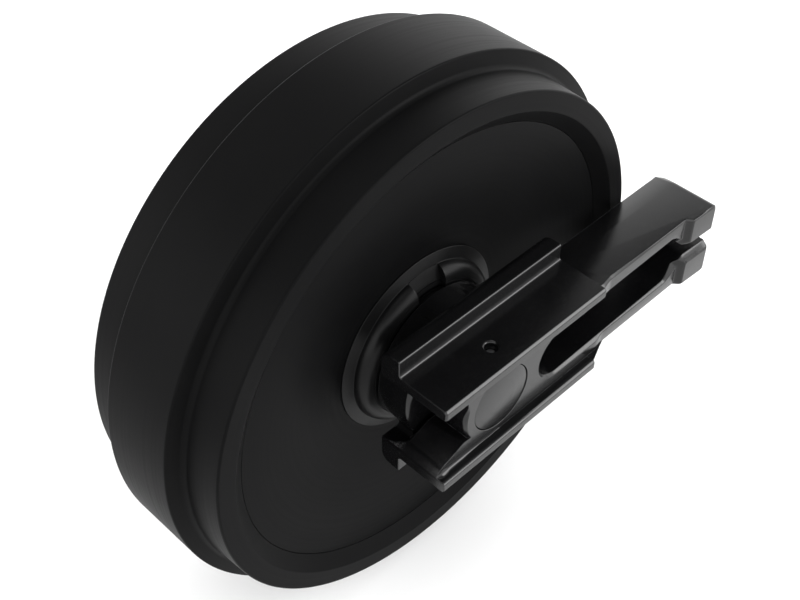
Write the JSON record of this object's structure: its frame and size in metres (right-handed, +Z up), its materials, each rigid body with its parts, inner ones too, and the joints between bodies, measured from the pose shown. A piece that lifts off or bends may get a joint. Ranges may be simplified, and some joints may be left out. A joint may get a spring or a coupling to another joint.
{
  "type": "excavator front idler",
  "caption": "Flanged track idler wheel that turns on a fixed shaft between two guide brackets with open fork arms.",
  "frame": {"origin": "the wheel's centre, on the shaft's axis in the wheel's middle plane", "axes": "+X from the wheel along the fork arms, towards the track adjuster; +Y along the shaft, from the near bracket to the far bracket; +Z up, square to the guide faces"},
  "size_m": [0.609, 0.346, 0.58],
  "materials": {
    "satin_black_paint": "satin",
    "gloss_black_paint": "gloss",
    "plain_steel": "satin",
    "seal_iron": "polished",
    "bearing_bronze": "satin",
    "seal_rubber": "matte"
  },
  "bodies": {
    "carrier": {"bracket_near": "gloss_black_paint", "bracket_far": "gloss_black_paint", "shaft": "gloss_black_paint", "lock_pin_near": "plain_steel", "lock_pin_far": "plain_steel", "oil_plug": "plain_steel", "shaft_oring_near": "seal_rubber", "shaft_oring_far": "seal_rubber", "seal_ring_fixed_near": "seal_iron", "seal_ring_fixed_far": "seal_iron", "seal_toric_fixed_near": "seal_rubber", "seal_toric_fixed_far": "seal_rubber"},
    "wheel": {"rim": "satin_black_paint", "web_near": "satin_black_paint", "web_far": "satin_black_paint", "hub_collar_near": "satin_black_paint", "hub_collar_far": "satin_black_paint", "hub_tube": "satin_black_paint", "bushing_near": "bearing_bronze", "bushing_far": "bearing_bronze", "seal_ring_turning_near": "seal_iron", "seal_ring_turning_far": "seal_iron", "seal_toric_turning_near": "seal_rubber", "seal_toric_turning_far": "seal_rubber"}
  },
  "joints": [
    {"name": "wheel_spin", "type": "hinge", "parent": "carrier", "child": "wheel", "pos_m": [0, 0, 0], "axis": [0, 1, 0], "continuous": true}
  ]
}
